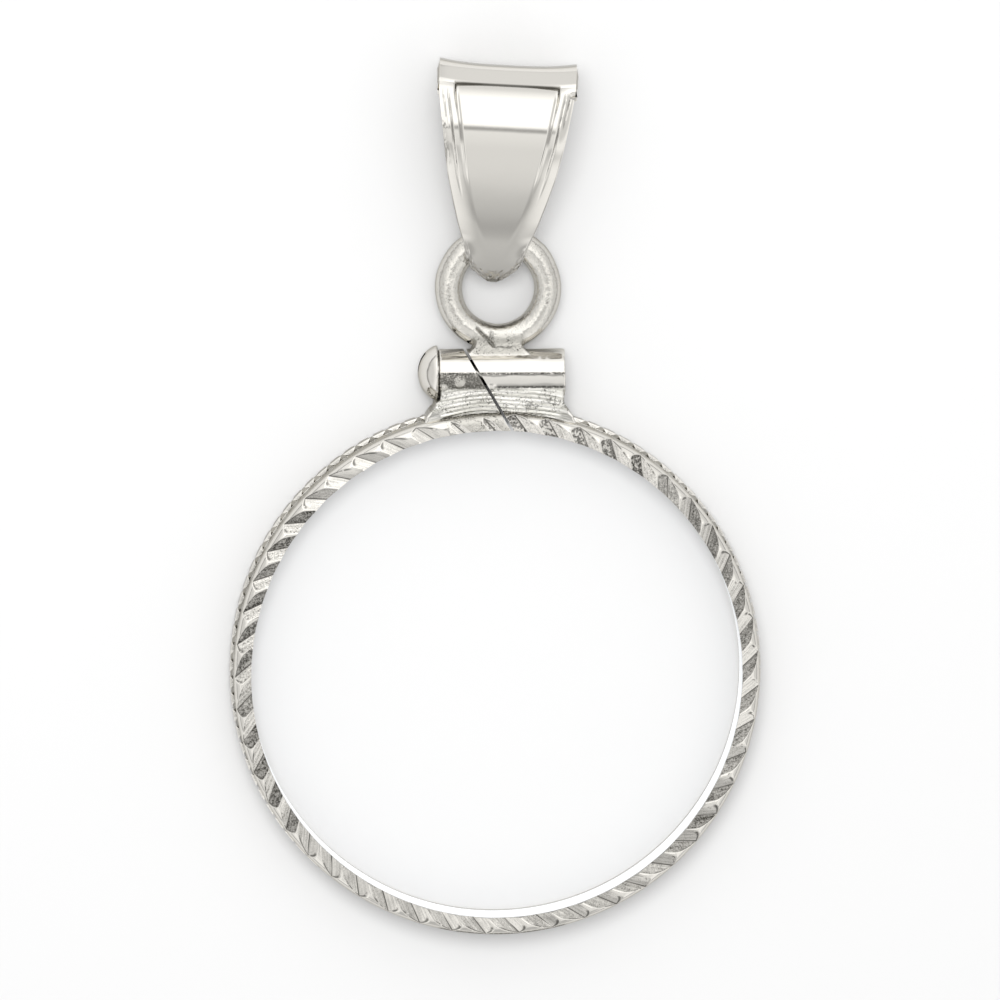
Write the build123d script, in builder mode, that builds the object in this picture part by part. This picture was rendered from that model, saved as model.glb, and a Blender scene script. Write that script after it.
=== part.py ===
from build123d import *
import os
from math import cos, radians, sin, sqrt, tan

os.makedirs("parts", exist_ok=True)

# An empty coin bezel lying on its back. The origin is the middle of the coin's seat, with +Z through
# the coin towards the front and +Y towards the bail. Lengths are millimetres and angles are degrees.

# Coin and the groove that holds it
coin_diameter = 17.9
coin_thickness = 1.35
coin_play = 0.05  # free space round the coin and over each of its faces
ring_wall = 0.33
lip_thickness = 0.28
lip_reach = 0.34  # how far each lip covers the edge of the coin
shoulder_radius = 0.38  # round between the front face and the outer wall
back_bevel = 0.14

# Slanted cuts round the front and fine cuts round the edge of the back
front_cut_count = 49
front_cut_depth = 0.18
front_cut_opening = 130  # angle between the two facets of a cut
front_cut_slant = 41  # turn of a cut away from the radius
front_cut_start = 3.5
back_cut_count = 98
back_cut_depth = 0.05
back_cut_opening = 110

# Screw tube and its bore
tube_radius = 0.83
tube_length = 4.41
tube_height = 1.22  # from the outer wall of the ring to the axis of the tube
tube_shift = 0.18  # the tube sits this far to the right of the middle
bore_radius = 0.5

# Saddle between ring and tube
saddle_margin = 0.06  # the saddle is this much shorter than the tube at each end
saddle_flare = 0.22
saddle_half_thickness = 0.78
saddle_steps = 3
saddle_step_drop = 0.09

# Saw cut through tube, saddle and ring
kerf_width = 0.09
kerf_turn = 30.3  # turn of the cut away from the radius
kerf_offset = 0.61  # where it crosses the axis of the tube, left of the middle

# Jump ring and the solder that holds it
wire_radius = 0.47
jump_radius = 1.73  # middle of the wire
jump_shift = 0.07
solder_sink = 0.06  # how deep the wire sits in the tube
collar_foot = 1.84
collar_neck = 1.44
collar_half_thickness = 0.4

# Closing screw
shank_play = 0.05  # between shank and bore
shank_gap = 0.3  # from the end of the shank to the end of the tube
head_radius = 0.96
head_rim = 0.18
head_dome = 0.5
head_gap = 0.03
head_edge = 0.06
slot_width = 0.24
slot_depth = 0.26
slot_turn = 8  # how far the slot is turned out of the plane of the ring

# Bail
bail_turn = 3.2  # clockwise, seen from the front
bail_slide = 4.6  # how far round the jump ring, to the left of its top, the bail hangs
bail_thickness = 0.34
bail_half_width = 2.42
bail_reach = 6.11  # from the middle of the wire to the top of the bail
bail_nose = 1.5  # from the middle of the wire to the soldered nose
wire_play = 0.1  # between the wire and the inside of the nose
bend_radius = 2.0
band_half_width = 2.36
band_proud = 0.06  # step from the front of the bail up to the band
band_flare = 0.16  # how far the band's edges turn out
crease_angle = 46.5  # where the band starts, past the highest point of the bail
groove_depth = 0.07
groove_fade = 2.3  # the grooves end this far above the wire

# Half of the bail's outline: share of its length from the nose, share of its half width. It ends
# past the top, clear of the flared band.
bail_outline = [
    (0.0, 0.0),
    (0.03, 0.205),
    (0.08, 0.325),
    (0.13, 0.395),
    (0.2, 0.485),
    (0.29, 0.585),
    (0.39, 0.675),
    (0.51, 0.775),
    (0.63, 0.845),
    (0.75, 0.908),
    (0.88, 0.975),
    (1.0, 0.985),
    (1.06, 0.98),
]
# Each groove in the front of the bail, as shares of the outline's width
bail_grooves = [(0.93, 0.87), (0.81, 0.75)]

# Sizes worked out from the ones above
coin_radius = coin_diameter / 2
groove_half = coin_thickness / 2 + coin_play
ring_half = groove_half + lip_thickness
lip_radius = coin_radius - lip_reach
seat_radius = coin_radius + coin_play
ring_radius = seat_radius + ring_wall
tube_y = ring_radius + tube_height
tube_left = tube_shift - tube_length / 2
jump_y = tube_y + tube_radius - solder_sink + wire_radius + jump_radius
wire_x = jump_shift - jump_radius * sin(radians(bail_slide))
wire_y = jump_y + jump_radius * cos(radians(bail_slide))
nose_inner = wire_radius + wire_play
nose_outer = nose_inner + bail_thickness
nose_v = nose_outer - bail_nose
bend_inner = bend_radius - bail_thickness
bend_v = bail_reach - bend_radius
bend_z = bend_radius + band_proud + band_flare - ring_half
bail_length = bail_reach + bail_nose


def v_cutter(plane, depth, opening, length):
    """A long V-shaped cutter whose edge lies at the given depth under the plane, along its X."""
    over = depth / 4
    half = (depth + over) * tan(radians(opening / 2))
    section = Plane(origin=plane.origin, x_dir=plane.y_dir, z_dir=plane.x_dir)
    with BuildPart() as cutter:
        with BuildSketch(section):
            with BuildLine():
                Polyline((0, -depth), (half, over), (-half, over), close=True)
            make_face()
        extrude(amount=length / 2, both=True)
    return cutter.part


# Each cut is made at the +X side of the ring and repeated round it
slant = radians(front_cut_slant)
shoulder_middle = (lip_radius + ring_radius) / 2
front_plane = Plane(
    origin=(shoulder_middle, 0, ring_half),
    x_dir=(cos(slant), sin(slant), 0),
    z_dir=(0, 0, 1),
)
front_cut_length = 1.25 * (ring_radius - lip_radius) / cos(slant) + 2 * front_cut_depth
front_cutter = v_cutter(front_plane, front_cut_depth, front_cut_opening, front_cut_length)

back_plane = Plane(
    origin=(ring_radius - back_bevel / 2, 0, back_bevel / 2 - ring_half),
    x_dir=(1, 0, 1),
    z_dir=(1, 0, -1),
)
back_cut_length = 3 * back_bevel + 2 * back_cut_depth
back_cutter = v_cutter(back_plane, back_cut_depth, back_cut_opening, back_cut_length)

# Soldered frame: ring, saddle, tube, collar and jump ring
with BuildPart() as bezel_frame:
    with BuildSketch(Plane.XZ):
        with BuildLine():
            Polyline(
                (ring_radius - shoulder_radius, ring_half),
                (lip_radius, ring_half),
                (lip_radius, groove_half),
                (seat_radius, groove_half),
                (seat_radius, -groove_half),
                (lip_radius, -groove_half),
                (lip_radius, -ring_half),
                (ring_radius - back_bevel, -ring_half),
                (ring_radius, back_bevel - ring_half),
                (ring_radius, ring_half - shoulder_radius),
            )
            RadiusArc(
                (ring_radius, ring_half - shoulder_radius),
                (ring_radius - shoulder_radius, ring_half),
                -shoulder_radius,
            )
        make_face()
    revolve(axis=Axis.Z)
    with PolarLocations(0, front_cut_count, start_angle=front_cut_start):
        add(front_cutter, mode=Mode.SUBTRACT)
    with PolarLocations(0, back_cut_count):
        add(back_cutter, mode=Mode.SUBTRACT)

    # Saddle in steps that rise towards the ring, on the middle of the ring's wall
    saddle_half = tube_length / 2 - saddle_margin
    for step in range(saddle_steps):
        share = (step + 1) / saddle_steps
        top_y = tube_y - share * (tube_y - ring_radius) * (1 - 1 / saddle_steps)
        thickness = saddle_half_thickness - (saddle_steps - 1 - step) * saddle_step_drop
        foot_half = saddle_half + saddle_flare * share
        foot_y = sqrt(seat_radius**2 - foot_half**2)
        with BuildSketch(Plane.XY):
            with BuildLine():
                Polyline(
                    (tube_shift - saddle_half, top_y),
                    (tube_shift + saddle_half, top_y),
                    (tube_shift + foot_half, foot_y),
                    (tube_shift - foot_half, foot_y),
                    close=True,
                )
            make_face()
            Circle(ring_radius - ring_wall / 2, mode=Mode.SUBTRACT)
        extrude(amount=thickness, both=True)

    # Tube, solder collar and jump ring
    tube_plane = Plane(origin=(tube_left, tube_y, 0), x_dir=(0, 1, 0), z_dir=(1, 0, 0))
    with BuildSketch(tube_plane):
        Circle(tube_radius)
    extrude(amount=tube_length)
    collar_low = tube_y + tube_radius - 2 * solder_sink
    collar_high = jump_y - sqrt((jump_radius + wire_radius / 2) ** 2 - (collar_neck / 2) ** 2)
    with BuildSketch(Plane.XY.offset(-collar_half_thickness)):
        with BuildLine():
            Line(
                (jump_shift - collar_foot / 2, collar_low),
                (jump_shift + collar_foot / 2, collar_low),
            )
            ThreePointArc(
                (jump_shift + collar_foot / 2, collar_low),
                (jump_shift + collar_neck / 2 + 0.25 * (collar_foot - collar_neck) / 2,
                 collar_low + 0.4 * (collar_high - collar_low)),
                (jump_shift + collar_neck / 2, collar_high),
            )
            Line(
                (jump_shift + collar_neck / 2, collar_high),
                (jump_shift - collar_neck / 2, collar_high),
            )
            ThreePointArc(
                (jump_shift - collar_neck / 2, collar_high),
                (jump_shift - collar_neck / 2 - 0.25 * (collar_foot - collar_neck) / 2,
                 collar_low + 0.4 * (collar_high - collar_low)),
                (jump_shift - collar_foot / 2, collar_low),
            )
        make_face()
    extrude(amount=2 * collar_half_thickness)
    with Locations((jump_shift, jump_y, 0)):
        Torus(jump_radius, wire_radius)

    # Bore, then the saw cut
    with BuildSketch(tube_plane):
        Circle(bore_radius)
    extrude(amount=tube_length, mode=Mode.SUBTRACT)
    kerf = radians(kerf_turn)
    kerf_plane = Plane(
        origin=(-kerf_offset, tube_y, 0), x_dir=(cos(kerf), sin(kerf), 0), z_dir=(0, 0, 1)
    )
    kerf_up = (tube_radius + solder_sink) / cos(kerf)
    kerf_down = (tube_y - lip_radius) / cos(kerf) + kerf_width
    with BuildSketch(kerf_plane.offset(-ring_half)):
        with Locations((0, (kerf_up - kerf_down) / 2)):
            Rectangle(kerf_width, kerf_up + kerf_down)
    extrude(amount=2 * ring_half, mode=Mode.SUBTRACT)
bezel_frame.part.label = "bezel_frame"
export_step(bezel_frame.part, "parts/bezel_frame.step")

# Closing screw, turned about the axis of the tube
screw_plane = Plane(origin=(tube_left - head_gap, tube_y, 0), x_dir=(-1, 0, 0), z_dir=(0, -1, 0))
shank_radius = bore_radius - shank_play
shank_length = tube_length + head_gap - shank_gap
head_length = head_rim + head_dome
with BuildPart() as closing_screw:
    with BuildSketch(screw_plane):
        with BuildLine():
            Polyline(
                (head_length, 0),
                (-shank_length, 0),
                (-shank_length, shank_radius),
                (0, shank_radius),
                (0, head_radius - head_edge),
                (head_edge, head_radius),
                (head_rim, head_radius),
            )
            ThreePointArc(
                (head_rim, head_radius),
                (head_rim + 0.72 * head_dome, 0.66 * head_radius),
                (head_length, 0),
            )
        make_face()
    revolve(axis=Axis((tube_left, tube_y, 0), (1, 0, 0)))
    slot_plane = Plane(
        origin=(tube_left - head_gap - head_length, tube_y, 0),
        x_dir=(0, cos(radians(slot_turn)), sin(radians(slot_turn))),
        z_dir=(-1, 0, 0),
    )
    with BuildSketch(slot_plane):
        Rectangle(3 * head_radius, slot_width)
    extrude(amount=-slot_depth, mode=Mode.SUBTRACT)
closing_screw.part.label = "closing_screw"
export_step(closing_screw.part, "parts/closing_screw.step")

# Bail: a loop with two round ends, cut to its tapered outline, and a flared band over its top
turn = radians(bail_turn)
across = Vector(cos(turn), -sin(turn), 0)
along = Vector(sin(turn), cos(turn), 0)
upward = Vector(0, 0, 1)
bail_origin = Vector(wire_x, wire_y, 0)
bend_center = bail_origin + along * bend_v + upward * bend_z
front_view = Plane(origin=bail_origin, x_dir=across, z_dir=upward)
side_view = Plane(origin=bail_origin, x_dir=along, z_dir=across)


def loop_face(inset):
    """The filled side view of the bail, moved in from its outer surface."""
    with BuildSketch(side_view) as face:
        with BuildLine():
            CenterArc((nose_v, 0), nose_outer - inset, 0, 360)
            CenterArc((bend_v, bend_z), bend_radius - inset, 0, 360)
        make_hull()
    return face.sketch


def outline_face(scale):
    """The front view of the bail, with its width scaled."""
    right = [(scale * w * bail_half_width, s * bail_length - bail_nose) for s, w in bail_outline]
    left = [(-x, y) for x, y in right]
    with BuildSketch(front_view) as face:
        with BuildLine():
            Spline(*reversed(right), *left[1:])
            Line(left[-1], right[-1])
        make_face()
    return face.sketch


# Shallow grooves in the front, between the borders and the middle
with BuildPart() as bail_groove_cutter:
    for groove_outside, groove_inside in bail_grooves:
        extrude(outline_face(groove_outside), amount=2 * bend_radius)
        extrude(outline_face(groove_inside), amount=2 * bend_radius, mode=Mode.SUBTRACT)
    with BuildSketch(side_view):
        with Locations((groove_fade, 0)):
            Rectangle(bail_reach, 3 * bend_radius, align=(Align.MIN, Align.MIN))
    extrude(amount=bail_half_width, both=True, mode=Mode.INTERSECT)
    extrude(loop_face(groove_depth), amount=bail_half_width, both=True, mode=Mode.SUBTRACT)

# The plain band over the top, as wide as the outline under it
band_angle = radians(crease_angle)
band_up = along * sin(band_angle) + upward * cos(band_angle)
band_plane = Plane(origin=bend_center, x_dir=across, z_dir=across.cross(band_up))
band_outer = bend_radius + band_proud
with BuildPart() as bail_band:
    with BuildSketch(band_plane):
        with BuildLine():
            ThreePointArc(
                (-band_half_width, band_outer + band_flare),
                (0, band_outer),
                (band_half_width, band_outer + band_flare),
            )
            Line(
                (band_half_width, band_outer + band_flare),
                (band_half_width, bend_inner + band_flare),
            )
            ThreePointArc(
                (band_half_width, bend_inner + band_flare),
                (0, bend_inner),
                (-band_half_width, bend_inner + band_flare),
            )
            Line(
                (-band_half_width, bend_inner + band_flare),
                (-band_half_width, band_outer + band_flare),
            )
        make_face()
    revolve(axis=Axis(bend_center, -across), revolution_arc=180 - crease_angle)
    extrude(outline_face(1), amount=3 * bend_radius, both=True, mode=Mode.INTERSECT)

with BuildPart() as bail:
    extrude(loop_face(0), amount=bail_half_width, both=True)
    extrude(loop_face(bail_thickness), amount=bail_half_width, both=True, mode=Mode.SUBTRACT)
    extrude(outline_face(1), amount=3 * bend_radius, both=True, mode=Mode.INTERSECT)
    add(bail_groove_cutter.part, mode=Mode.SUBTRACT)
    add(bail_band.part)
bail.part.label = "bail"
export_step(bail.part, "parts/bail.step")
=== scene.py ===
import math
import random

import bpy
from mathutils import Matrix, Vector


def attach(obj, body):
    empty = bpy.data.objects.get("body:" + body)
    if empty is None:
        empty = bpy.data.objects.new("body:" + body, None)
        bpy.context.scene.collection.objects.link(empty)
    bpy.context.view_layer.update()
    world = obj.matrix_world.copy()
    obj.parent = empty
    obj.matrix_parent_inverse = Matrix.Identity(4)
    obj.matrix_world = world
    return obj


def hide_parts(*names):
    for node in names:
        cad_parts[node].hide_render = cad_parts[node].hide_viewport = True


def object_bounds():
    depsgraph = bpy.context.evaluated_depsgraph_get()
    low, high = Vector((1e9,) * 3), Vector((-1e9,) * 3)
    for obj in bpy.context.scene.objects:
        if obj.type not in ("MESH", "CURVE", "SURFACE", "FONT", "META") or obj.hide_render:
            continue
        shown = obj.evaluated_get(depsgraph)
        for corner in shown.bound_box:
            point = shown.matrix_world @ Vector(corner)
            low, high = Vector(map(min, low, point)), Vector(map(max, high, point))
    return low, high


# A screw-top coin bezel in polished silver, lying on its back on a white table.
# Pieces are modelled with one unit for a millimetre and shrunk to metres when they are finished.

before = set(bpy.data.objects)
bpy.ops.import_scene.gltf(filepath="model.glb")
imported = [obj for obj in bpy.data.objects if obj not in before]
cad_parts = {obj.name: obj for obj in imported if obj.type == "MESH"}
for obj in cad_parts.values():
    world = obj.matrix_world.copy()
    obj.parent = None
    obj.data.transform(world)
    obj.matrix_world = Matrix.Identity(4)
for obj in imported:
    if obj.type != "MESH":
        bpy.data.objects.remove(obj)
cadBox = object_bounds()
random.seed(7)
print("frame loaded:", ", ".join(sorted(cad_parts)))


# Working helpers

def activate(piece):  # only this piece is selected and active
    if bpy.context.object and bpy.context.object.mode == "EDIT":
        bpy.ops.object.mode_set(mode="OBJECT")
    bpy.ops.object.select_all(action="DESELECT")
    piece.select_set(True)
    bpy.context.view_layer.objects.active = piece


def named(name, material=None):  # names the primitive that was just added and gives it a finish
    piece = bpy.context.object
    piece.name = name
    piece.data.name = name
    if material:
        piece.data.materials.append(material)
    return piece


def settle(piece):  # the piece's place, turn and scale go into its mesh
    activate(piece)
    bpy.ops.object.transform_apply(location=True, rotation=True, scale=True)
    return piece


def pick(piece, kind, test):  # goes into edit mode with what passes the test selected
    activate(piece)
    bpy.ops.object.mode_set(mode="EDIT")
    bpy.ops.mesh.select_mode(type=kind)
    bpy.ops.mesh.select_all(action="DESELECT")
    bpy.ops.object.mode_set(mode="OBJECT")
    mesh = piece.data
    if kind == "FACE":
        for face in mesh.polygons:
            face.select = test(face.center, face.normal)
    else:
        for vertex in mesh.vertices:
            vertex.select = test(vertex.co)
    bpy.ops.object.mode_set(mode="EDIT")


def objectMode():
    bpy.ops.object.mode_set(mode="OBJECT")


def modify(piece, kind, **settings):  # adds a modifier and applies it
    activate(piece)
    modifier = piece.modifiers.new(kind.title(), kind)
    for name, value in settings.items():
        setattr(modifier, name, value)
    bpy.ops.object.modifier_apply(modifier=modifier.name)


def copyOf(piece):  # a copy with its own mesh
    twin = piece.copy()
    twin.data = piece.data.copy()
    bpy.context.scene.collection.objects.link(twin)
    return twin


def joined(pieces):  # several meshes become the first one
    activate(pieces[0])
    for piece in pieces:
        piece.select_set(True)
    bpy.ops.object.join()
    return settle(pieces[0])


def combine(piece, other, operation, overlapping=False):  # union or difference, then the other piece goes
    modify(piece, "BOOLEAN", operation=operation, object=other, solver="EXACT",
           use_self=overlapping, material_mode="TRANSFER")
    bpy.data.objects.remove(other)


def cleanUp(piece, reach=0.0005):
    pick(piece, "VERT", lambda place: True)
    bpy.ops.mesh.remove_doubles(threshold=reach)
    bpy.ops.mesh.normals_make_consistent(inside=False)
    objectMode()


def lathe(name, profile, steps, material, closed=True):
    # a circle of edges is extruded and resized from one radius and height to the next, round Z
    radius, height = profile[0]
    bpy.ops.object.select_all(action="DESELECT")
    bpy.ops.mesh.primitive_circle_add(vertices=steps, radius=radius, location=(0, 0, height),
                                      fill_type="NOTHING" if closed else "NGON")
    piece = settle(named(name, material))
    bpy.ops.object.mode_set(mode="EDIT")
    bpy.ops.mesh.select_all(action="SELECT")
    for nextRadius, nextHeight in profile[1:] + (profile[:1] if closed else []):
        bpy.ops.mesh.extrude_region_move(TRANSFORM_OT_translate={"value": (0, 0, nextHeight - height)})
        share = nextRadius / radius
        bpy.ops.transform.resize(value=(share, share, 1), center_override=(0, 0, nextHeight))
        radius, height = nextRadius, nextHeight
    objectMode()
    cleanUp(piece, 0.002)
    return piece


def weigh(piece, name, weight):  # a vertex group whose weights come from a vertex's place
    group = piece.vertex_groups.new(name=name)
    for vertex in piece.data.vertices:
        amount = weight(vertex.co)
        if amount > 0:
            group.add([vertex.index], min(amount, 1.0), "REPLACE")
    return name


def chart(piece, name, measure):  # an attribute whose values come from a vertex's place
    values = piece.data.attributes.new(name, "FLOAT", "POINT").data
    for vertex in piece.data.vertices:
        values[vertex.index].value = measure(vertex.co)


def displace(piece, group, strength, texture=None, middle=0.0, direction="NORMAL"):
    settings = {"vertex_group": group, "strength": strength, "mid_level": middle, "direction": direction}
    if texture:
        settings.update(texture=texture, texture_coords="LOCAL")
    modify(piece, "DISPLACE", **settings)


def clouds(name, size, depth=2):  # a soft procedural noise for displacing
    texture = bpy.data.textures.new(name, "CLOUDS")
    texture.noise_scale = size
    texture.noise_depth = depth
    return texture


def finish(piece, body, node, smoothAngle):
    activate(piece)
    bpy.ops.object.shade_smooth_by_angle(angle=math.radians(smoothAngle))
    piece.scale = (0.001, 0.001, 0.001)
    settle(piece)
    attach(piece, body)
    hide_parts(node)
    print(piece.name, "finished with", len(piece.data.polygons), "faces")


def ease(value, low, high):  # 0 up to low, 1 from high, and a soft step between
    share = min(max((value - low) / (high - low), 0), 1)
    return share * share * (3 - 2 * share)


def spread(size):  # a random number that is at most this far from 0
    return random.uniform(-size, size)


# Shader helpers

silver = {
    "shade": (0.77, 0.748, 0.70, 1),
    "dullAndPaintedShade": (0.5, 0.485, 0.44, 1),
    "ridgePaintedShade": (0.6, 0.59, 0.54, 1),
    "ridgePaintedHighlight": (0.86, 0.845, 0.8, 1),
    "groovePaintedReflection": (0.8, 0.81, 0.82, 1),
    "sawnPaintedShade": (0.05, 0.048, 0.042, 1),
    "pitsAndPaintedShade": (0.05, 0.047, 0.04, 1),
    "edgeShade": (0.5, 0.49, 0.46, 1),
    "polish": 0.05,
}


class Wire:  # a socket of a node tree that works in Python expressions
    def __init__(self, tree, socket=None):
        self.tree = tree
        self.socket = socket

    def node(self, kind, settings=None, values=None, output=0):
        made = self.tree.nodes.new("ShaderNode" + kind)
        for name, value in (settings or {}).items():
            if name == "stops":
                ramp = made.color_ramp
                while len(ramp.elements) < len(value):
                    ramp.elements.new(0.5)
                for element, (position, shade) in zip(ramp.elements, value):
                    element.position = position
                    element.color = (*shade, 1) if isinstance(shade, tuple) else (shade,) * 3 + (1,)
            else:
                setattr(made, name, value)
        for name, value in (values or {}).items():
            if isinstance(value, Wire):
                self.tree.links.new(value.socket, made.inputs[name])
            else:
                made.inputs[name].default_value = value
        return Wire(self.tree, made.outputs[output])

    def math(self, operation, first, second=0.0):
        return self.node("Math", {"operation": operation}, {0: first, 1: second})

    def __add__(self, other):
        return self.math("ADD", self, other)

    def __sub__(self, other):
        return self.math("SUBTRACT", self, other)

    def __rsub__(self, other):
        return self.math("SUBTRACT", other, self)

    def __mul__(self, other):
        return self.math("MULTIPLY", self, other)

    def __truediv__(self, other):
        return self.math("DIVIDE", self, other)

    def smooth(self, low, high):  # 0 below low, 1 above high, and a soft step between
        return self.node("MapRange", {"interpolation_type": "SMOOTHSTEP"},
                         {"Value": self, "From Min": low, "From Max": high})

    def mix(self, shade, other):  # from one colour to another by this number
        return self.node("Mix", {"data_type": "RGBA"}, {0: self, 6: shade, 7: other}, 2)

    def noise(self, place, size, detail=2.0):  # size is that of the blotches, in millimetres
        return self.node("TexNoise", values={"Vector": place, "Scale": 1 / size, "Detail": detail})

    def millimetres(self):  # the piece's own place, one unit for a millimetre
        place = self.node("TexCoord", output="Object")
        return self.node("VectorMath", {"operation": "SCALE"}, {0: place, "Scale": 1000.0})

    def part(self, place, axis):  # one of the three numbers of a place
        return self.node("SeparateXYZ", values={0: place}, output=axis)

    def fromAxis(self, place):  # how far a place is from the ring's axis
        level = self.node("VectorMath", {"operation": "MULTIPLY"}, {0: place, 1: (1, 1, 0)})
        return self.node("VectorMath", {"operation": "LENGTH"}, {0: level}, "Value")

    def attribute(self, name, output="Fac"):
        return self.node("Attribute", {"attribute_name": name}, output=output)

    def bump(self, height, strength, distance):  # distance is that of the bumps, in millimetres
        return self.node("Bump", values={"Strength": strength, "Distance": distance / 1000, "Height": height})


def newMaterial(name, metallic=1.0):  # a material, the wire that starts its tree, and its shader
    material = bpy.data.materials.new(name)
    material.use_nodes = True
    tree = material.node_tree
    shader = tree.nodes["Principled BSDF"]
    shader.inputs["Metallic"].default_value = metallic
    if metallic:
        shader.inputs["Specular Tint"].default_value = silver["edgeShade"]
    return material, Wire(tree), shader


def feed(shader, name, value):  # a wire or a plain value goes to a socket of the shader
    if isinstance(value, Wire):
        value.tree.links.new(value.socket, shader.inputs[name])
    else:
        shader.inputs[name].default_value = value


# Table, light and camera

studio = {
    "floorReach": 0.3,
    "floorShade": (0.69, 0.69, 0.69, 1),
    "floorSheen": 0.35,
    "keyPlace": (-0.012, 0.045, 0.15),
    "keySize": 0.06,
    "keyPower": 0.17,
    "roomScale": 2.0,
}
# brightness of the room against the angle from straight up towards the bail, in degrees
roomLight = [
    (-180, 0.85), (-100, 0.70), (-90, 0.55), (-84, 0.56), (-72, 0.63), (-68, 0.64), (-64, 0.52), (-61, 0.48),
    (-56, 0.60), (-52, 0.68), (-47, 0.88), (-28, 0.95), (-12, 1.0), (-3, 1.1), (4, 1.5), (56, 1.5), (68, 1.2),
    (78, 0.92), (100, 0.80), (180, 0.85),
]
roomSides = {"level": 1.12, "from": 0.3, "to": 0.46, "outer": 0.8, "outerFrom": 0.55, "outerTo": 0.8,
             "low": 0.36, "lowTop": 0.26}
# a dark gap between two panels overhead, and how it bends towards its ends
roomGap = {"angle": -5.0, "bend": 22.0, "half": 4.0, "soft": 3.5, "dark": 0.62, "reach": 0.6}


def makeStudio():
    bpy.ops.object.select_all(action="DESELECT")
    bpy.ops.mesh.primitive_plane_add(size=studio["floorReach"], location=(0, 0, cadBox[0].z))
    floor = settle(named("tableTop"))
    material, start, shader = newMaterial("tableWhite", 0.0)
    grain = start.noise(start.millimetres(), 1.5)
    feed(shader, "Base Color", studio["floorShade"])
    feed(shader, "Metallic", studio["floorSheen"])
    feed(shader, "Roughness", grain * 0.06 + 0.5)
    floor.data.materials.append(material)

    world = bpy.data.worlds.new("room")
    bpy.context.scene.world = world
    world.use_nodes = True
    start = Wire(world.node_tree)
    towards = start.node("TexCoord", output="Generated")
    side = start.math("ABSOLUTE", start.part(towards, "X"))
    ahead, upward = start.part(towards, "Y"), start.part(towards, "Z")
    turn = start.math("ARCTAN2", ahead, upward)
    stops = [((degrees + 180) / 360, level / studio["roomScale"]) for degrees, level in roomLight]
    glow = start.node("ValToRGB", {"stops": stops}, {"Fac": turn / (2 * math.pi) + 0.5})
    low, high, outer = ((roomSides[name] / studio["roomScale"],) * 3 + (1,) for name in ("low", "level", "outer"))
    sides = side.smooth(roomSides["outerFrom"], roomSides["outerTo"]).mix(high, outer)
    sides = upward.smooth(0, roomSides["lowTop"]).mix(low, sides)
    glow = side.smooth(roomSides["from"], roomSides["to"]).mix(glow, sides)
    away = start.math("ABSOLUTE", turn * math.degrees(1) - roomGap["angle"] + side * roomGap["bend"])
    gap = 1.0 - away.smooth(roomGap["half"] - roomGap["soft"], roomGap["half"] + roomGap["soft"])
    gap = gap * (1.0 - side.smooth(0, roomGap["reach"])) * roomGap["dark"]
    background = world.node_tree.nodes["Background"]
    feed(background, "Color", gap.mix(glow, (0.05, 0.05, 0.05, 1)))
    feed(background, "Strength", studio["roomScale"])

    bpy.ops.object.light_add(type="AREA", location=studio["keyPlace"])
    key = bpy.context.object
    key.name = "keyLight"
    key.data.shape = "DISK"
    key.data.size = studio["keySize"]
    key.data.energy = studio["keyPower"]
    key.visible_glossy = False  # it shades the table, and the silver reflects only the room
    key.rotation_euler = Vector(studio["keyPlace"]).to_track_quat("Z", "Y").to_euler()


view = {
    "target": (0.00014, 0.00606, 0),
    "distance": 0.35,
    "leanBack": 7,  # degrees from straight above towards the bail
    "leanLeft": 3,
    "frameWidth": 0.035,
}


def makeCamera():
    back = Vector((-math.tan(math.radians(view["leanLeft"])), math.tan(math.radians(view["leanBack"])), 1))
    back.normalize()
    right = Vector((0, 1, 0)).cross(back).normalized()
    above = back.cross(right)
    bpy.ops.object.camera_add()
    camera = bpy.context.object
    camera.name = "photoCamera"
    turn = Matrix((right, above, back)).transposed().to_4x4()
    camera.matrix_world = Matrix.Translation(Vector(view["target"]) + back * view["distance"]) @ turn
    camera.data.sensor_width = 36
    camera.data.lens = 36 * view["distance"] / view["frameWidth"]
    camera.data.clip_start = 0.01
    camera.data.clip_end = 5
    bpy.context.scene.camera = camera


makeStudio()
makeCamera()
bpy.context.scene.view_settings.view_transform = "Standard"
print("table, light and camera placed")


# Silver

def cracks(place):  # thin broken lines, as where solder has shrunk
    bend = place.node("TexNoise", values={"Vector": place, "Scale": 4.0}, output="Color")
    bent = place.node("VectorMath", {"operation": "ADD"}, {0: place, 1: bend})
    away = place.node("TexVoronoi", {"feature": "DISTANCE_TO_EDGE"}, {"Vector": bent, "Scale": 1.6}, "Distance")
    return (1.0 - away.smooth(0.0, 0.045)) * place.noise(place, 0.5).smooth(0.42, 0.52)


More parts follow.
